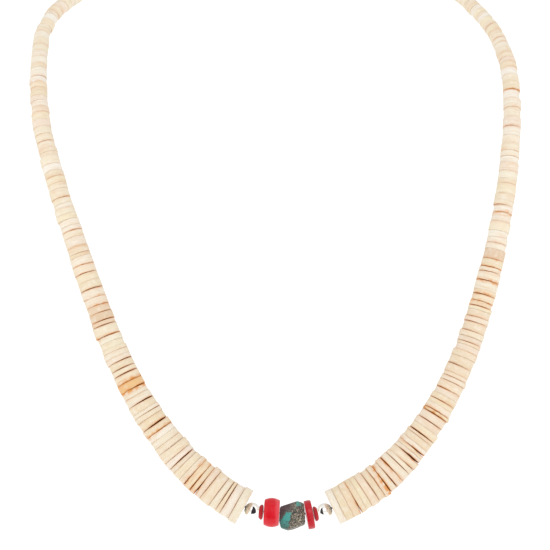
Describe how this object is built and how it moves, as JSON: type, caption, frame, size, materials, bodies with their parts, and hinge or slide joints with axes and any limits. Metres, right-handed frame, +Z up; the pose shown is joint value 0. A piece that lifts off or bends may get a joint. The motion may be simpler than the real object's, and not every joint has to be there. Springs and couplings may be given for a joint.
{
  "type": "shell necklace",
  "caption": "Graduated necklace of drilled shell discs on a thread, with silver, coral and turquoise beads at the front, in its worn form.",
  "frame": {"origin": "the point of the nape that the clasp lies against when the necklace is worn", "axes": "+Z up, +X to the right of someone who looks at the front of the necklace, +Y backwards, so the front beads hang towards -Y and -Z"},
  "size_m": [0.1298, 0.1017, 0.1373],
  "materials": {
    "shell": "hand-ground shell, cream to tan with brown stains, softly polished",
    "red_coral": "polished",
    "turquoise": "tumbled, with brown matrix",
    "silver": "polished",
    "thread": "waxed brown thread"
  },
  "bodies": {
    "root": {"shell_discs_left": "shell", "shell_discs_right": "shell", "silver_bead_left": "silver", "small_coral_left": "red_coral", "coral_rondelle": "red_coral", "turquoise_nugget": "turquoise", "coral_disc": "red_coral", "small_coral_right": "red_coral", "silver_bead_right": "silver", "thread": "thread", "clasp": "silver"}
  },
  "joints": []
}
